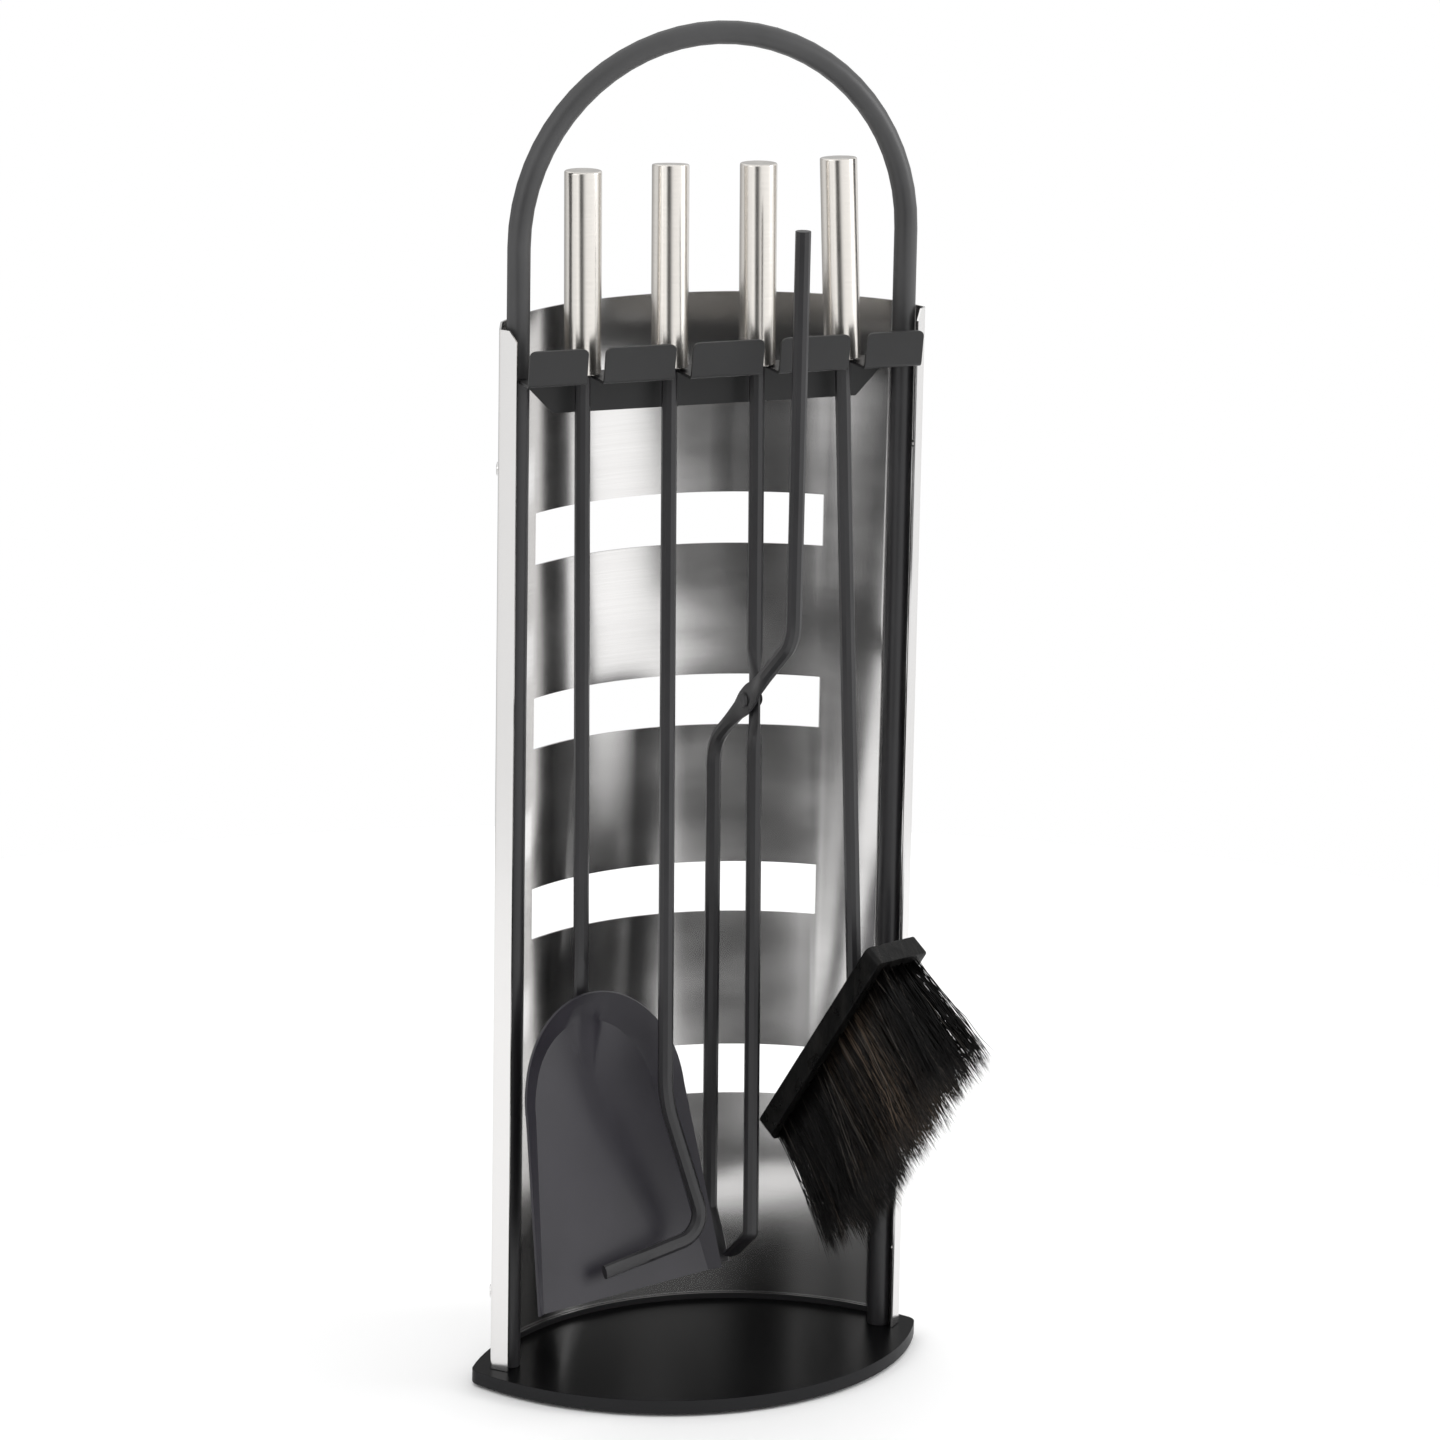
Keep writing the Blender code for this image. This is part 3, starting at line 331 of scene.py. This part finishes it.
def tuft_frame():
    """The tuft's own axes, read from its plain solid: X across, Y down the block, Z out of it.
    Also its width and length at the block, and how far its tips lie down the block from its roots."""
    mesh = NODES["brush_bristles"].data
    faces = {}
    for polygon in mesh.polygons:
        key = tuple(round(part, 2) for part in polygon.normal)
        faces.setdefault(key, []).append(polygon)
    sides = sorted(faces.values(), key=lambda side: -sum(polygon.area for polygon in side))
    corners = [{tuple(round(part, 5) for part in mesh.vertices[index].co)
                for polygon in side for index in polygon.vertices} for side in sides]
    areas = [sum(polygon.area for polygon in side) for side in sides]
    # The two ends that face each other along the hairs share no corner and differ in area.
    pairs = [(first, second) for first in range(6) for second in range(first + 1, 6)
             if not corners[first] & corners[second]]
    tips, roots = max(pairs, key=lambda pair: areas[pair[0]] - areas[pair[1]])
    tip_middle = sum((Vector(corner) for corner in corners[tips]), Vector()) / 4.0
    root_middle = sum((Vector(corner) for corner in corners[roots]), Vector()) / 4.0
    outward = sides[tips][0].normal.normalized()
    ring = [Vector(corner) for corner in corners[roots]]
    runs = [(one - other) for one in ring for other in ring if one != other]
    runs.sort(key=lambda run: run.length)
    across = runs[0].normalized()
    along = outward.cross(across)
    if along.z > 0.0:
        along = -along
    across = along.cross(outward)
    length = max(abs(run.dot(along)) for run in runs)
    width = max(abs(run.dot(across)) for run in runs)
    turn = Matrix((across, along, outward)).transposed().to_4x4()
    return Matrix.Translation(root_middle) @ turn, width, length, (tip_middle - root_middle).dot(along)


def add_hair(bm, layer, points, radius, colour):
    """One hair: a three-sided tapered strand that ends in a point."""
    rings = []
    for index, point in enumerate(points[:-1]):
        ahead = (points[index + 1] - point).normalized()
        side = ahead.orthogonal().normalized()
        other = ahead.cross(side)
        size = radius * (1.0 - TAPER * index / (len(points) - 1))
        ring = []
        for step in range(3):
            angle = 2.0 * math.pi * step / 3.0
            ring.append(bm.verts.new(point + (side * math.cos(angle) + other * math.sin(angle)) * size))
        rings.append(ring)
    tip = bm.verts.new(points[-1])
    faces = [bm.faces.new((rings[0][2], rings[0][1], rings[0][0]))]
    for low, high in zip(rings, rings[1:]):
        for step in range(3):
            after = (step + 1) % 3
            faces.append(bm.faces.new((low[step], low[after], high[after], high[step])))
    for step in range(3):
        faces.append(bm.faces.new((rings[-1][step], rings[-1][(step + 1) % 3], tip)))
    for face in faces:
        face.smooth = True
        for loop in face.loops:
            loop[layer] = (*colour, 1.0)


def hair_points(root, lean, length, sag, down, curl):
    """A hair's path from its root: straight out, leaning, then sagging and curling a little."""
    points = []
    for step in range(HAIR_JOINTS + 1):
        share = step / HAIR_JOINTS
        wave = Vector((random.uniform(-1, 1), random.uniform(-1, 1), 0.0)) * HAIR_WAVE * share
        points.append(root + Vector((lean.x * share, lean.y * share, length * share))
                      + (down * sag + curl) * share * share + wave)
    return points


def make_hair():
    place, width, length, shift = tuft_frame()
    down = place.to_3x3().inverted() @ Vector((0.0, 0.0, -1.0))
    bm = bmesh.new()
    layer = bm.loops.layers.float_color.new("tint")
    for row in range(TUFT_ROWS):
        for column in range(TUFTS_IN_ROW):
            u = (row + 0.5) / TUFT_ROWS - 0.5
            v = (column + 0.5 + 0.25 * (row % 2)) / TUFTS_IN_ROW - 0.5
            centre = Vector((u * width, v * length, 0.0))
            lean = Vector((u * TUFT_FAN[0] + random.gauss(0, TUFT_STRAY[0]),
                           shift + v * TUFT_FAN[1] + random.gauss(0, TUFT_STRAY[1]), 0.0))
            reach = random.uniform(HAIR_HIGH - 0.0060, HAIR_HIGH - 0.0005)
            brown = max(0.0, 1.0 - abs(v + BROWN_MIDDLE) / BROWN_REACH) * random.uniform(0.1, 1.0)
            bend = Vector((random.gauss(0, TUFT_BEND[0]), random.gauss(0, TUFT_BEND[1]), 0.0))
            for _ in range(HAIRS_IN_TUFT):
                root = centre + Vector((random.gauss(0, ROOT_SPREAD[0]),
                                        random.gauss(0, ROOT_SPREAD[1]), -ROOT_DEPTH))
                spray = lean + Vector((random.gauss(0, HAIR_STRAY[0]),
                                       random.gauss(0, HAIR_STRAY[1]), 0.0))
                tall = min(HAIR_HIGH, max(HAIR_LOW, random.gauss(reach, 0.0014)))
                share = brown * random.random() ** 2.5
                colour = tuple(dark + (warm - dark) * share
                               for dark, warm in zip(BLACK_HAIR, BROWN_HAIR))
                # A few hairs are painted pale as glints of light: a painted highlight.
                if random.random() < PAINTED_GLINT_SHARE:
                    colour = PAINTED_GLINT_HAIR
                sag = HAIR_SAG * random.uniform(0.4, 1.4)
                curl = bend * random.uniform(0.3, 1.3)
                path = hair_points(root, spray, tall, sag, down, curl)
                add_hair(bm, layer, path, HAIR_RADIUS, colour)
    for _ in range(STRAY_HAIRS):
        root = Vector((random.uniform(-0.4, 0.4) * width, random.uniform(0.25, 0.49) * length, 0.0))
        spray = Vector((random.gauss(0, 0.005), shift + random.uniform(-0.002, 0.012), 0.0))
        curl = Vector((0.0, random.gauss(0, 0.006), 0.0))
        path = hair_points(root, spray, random.uniform(0.055, 0.068), 0.008, down, curl)
        add_hair(bm, layer, path, HAIR_RADIUS * 0.8, STRAY_COLOUR)
    mesh = bpy.data.meshes.new("brush_hair")
    bm.to_mesh(mesh)
    bm.free()
    hair = bpy.data.objects.new("brush_hair", mesh)
    bpy.context.scene.collection.objects.link(hair)
    hair.matrix_world = place
    hair.data.materials.append(HAIR)
    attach(hair, "brush")
    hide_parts("brush_bristles")


# ---------------------------------------------------------------- studio

FLOOR_RADIUS = 1.05
# Brightness of the room by compass direction from the set: 0 is straight ahead of its front,
# positive to its right. A dark gap between two bright walls gives the steel its bands.
ROOM = ((-180, 0.42), (-150, 0.52), (-128, 0.88), (-100, 0.88), (-62, 1.00), (-54, 1.25),
        (-43, 1.25), (-37, 0.30), (-31, 0.05), (-22, 0.05), (-15, 0.35), (-8, 0.85), (3, 1.10),
        (20, 1.15), (45, 1.20), (90, 1.12), (128, 0.95), (150, 0.55), (180, 0.42))
OVERHEAD = 1.25                   # brightness of the room's ceiling
CEILING_START = 0.35              # how steeply up it begins and is reached, as the ray's Z
CEILING_FULL = 0.80


def make_room():
    world = bpy.data.worlds.new("studio")
    world.use_nodes = True
    bpy.context.scene.world = world
    nodes = world.node_tree.nodes
    links = world.node_tree.links
    background = nodes["Background"]
    direction = nodes.new("ShaderNodeSeparateXYZ")
    links.new(nodes.new("ShaderNodeTexCoord").outputs["Generated"], direction.inputs["Vector"])

    def math_node(operation, *inputs):
        node = nodes.new("ShaderNodeMath")
        node.operation = operation
        for socket, value in zip(node.inputs, inputs):
            if isinstance(value, (int, float)):
                socket.default_value = value
            else:
                links.new(value, socket)
        return node.outputs["Value"]

    front = math_node("MULTIPLY", direction.outputs["Y"], -1.0)
    compass = math_node("ARCTAN2", direction.outputs["X"], front)
    turn = math_node("MULTIPLY_ADD", compass, 0.5 / math.pi, 0.5)
    ramp = nodes.new("ShaderNodeValToRGB")
    elements = ramp.color_ramp.elements
    while len(elements) < len(ROOM):
        elements.new(0.5)
    for element, (degrees, level) in zip(elements, ROOM):
        element.position = degrees / 360.0 + 0.5
        element.color = (level, level, level, 1.0)
    links.new(turn, ramp.inputs["Fac"])
    overhead = nodes.new("ShaderNodeMapRange")
    overhead.inputs["From Min"].default_value = CEILING_START
    overhead.inputs["From Max"].default_value = CEILING_FULL
    links.new(direction.outputs["Z"], overhead.inputs["Value"])
    mix = nodes.new("ShaderNodeMix")
    mix.data_type = "RGBA"
    links.new(overhead.outputs["Result"], mix.inputs["Factor"])
    links.new(ramp.outputs["Color"], mix.inputs["A"])
    mix.inputs["B"].default_value = (OVERHEAD, OVERHEAD, OVERHEAD, 1.0)
    links.new(mix.outputs["Result"], background.inputs["Color"])
    # What the camera sees past the floor is plain white.
    white = nodes.new("ShaderNodeBackground")
    white.inputs["Color"].default_value = (1.0, 1.0, 1.0, 1.0)
    choose = nodes.new("ShaderNodeMixShader")
    links.new(nodes.new("ShaderNodeLightPath").outputs["Is Camera Ray"], choose.inputs["Fac"])
    links.new(background.outputs["Background"], choose.inputs[1])
    links.new(white.outputs["Background"], choose.inputs[2])
    links.new(choose.outputs["Shader"], nodes["World Output"].inputs["Surface"])


def make_floor():
    bm = bmesh.new()
    bmesh.ops.create_circle(bm, cap_ends=True, segments=96, radius=FLOOR_RADIUS)
    mesh = bpy.data.meshes.new("floor")
    bm.to_mesh(mesh)
    bm.free()
    floor = bpy.data.objects.new("floor", mesh)
    bpy.context.scene.collection.objects.link(floor)
    paint = Shader("floor_paint", (0.93, 0.93, 0.93), 0.9)
    paint.feed(paint.spread(paint.noise((30.0, 30.0, 30.0)), 0.86, 0.94), "Roughness")
    floor.data.materials.append(paint.material)


def add_light(name, place, aim, size, watts):
    light = bpy.data.lights.new(name, "AREA")
    light.shape = "RECTANGLE"
    light.size, light.size_y = size
    light.energy = watts
    lamp = bpy.data.objects.new(name, light)
    bpy.context.scene.collection.objects.link(lamp)
    lamp.location = place
    lamp.rotation_euler = (Vector(aim) - Vector(place)).to_track_quat("-Z", "Y").to_euler()
    lamp.visible_camera = False


def make_lights():
    middle = (0.0, 0.0, 0.30)
    add_light("key", (1.72, -0.70, 0.95), middle, (0.50, 0.60), 9.5)
    add_light("fill", (-1.70, -0.50, 1.30), middle, (0.8, 1.6), 4.0)
    add_light("rim", (0.40, 1.60, 1.50), middle, (1.6, 0.8), 1.4)


CAMERA_PLACE = (-1.0819, -2.8647, 1.1571)
CAMERA_YAW = 20.793
CAMERA_PITCH = 14.725
CAMERA_ROLL = 1.0345
CAMERA_LENS = 153.43


def make_camera():
    camera = bpy.data.cameras.new("camera")
    camera.lens = CAMERA_LENS
    camera.sensor_width = 36.0
    camera.clip_end = 20.0
    eye = bpy.data.objects.new("camera", camera)
    bpy.context.scene.collection.objects.link(eye)
    eye.matrix_world = Matrix.Translation(CAMERA_PLACE) @ \
        Matrix.Rotation(math.radians(-CAMERA_YAW), 4, "Z") @ \
        Matrix.Rotation(math.radians(90.0 - CAMERA_PITCH), 4, "X") @ \
        Matrix.Rotation(math.radians(CAMERA_ROLL), 4, "Z")
    bpy.context.scene.camera = eye


make_camera()
dress_frame()
shade_nodes()
make_hair()
make_room()
make_floor()
make_lights()
bpy.context.scene.view_settings.view_transform = "Standard"
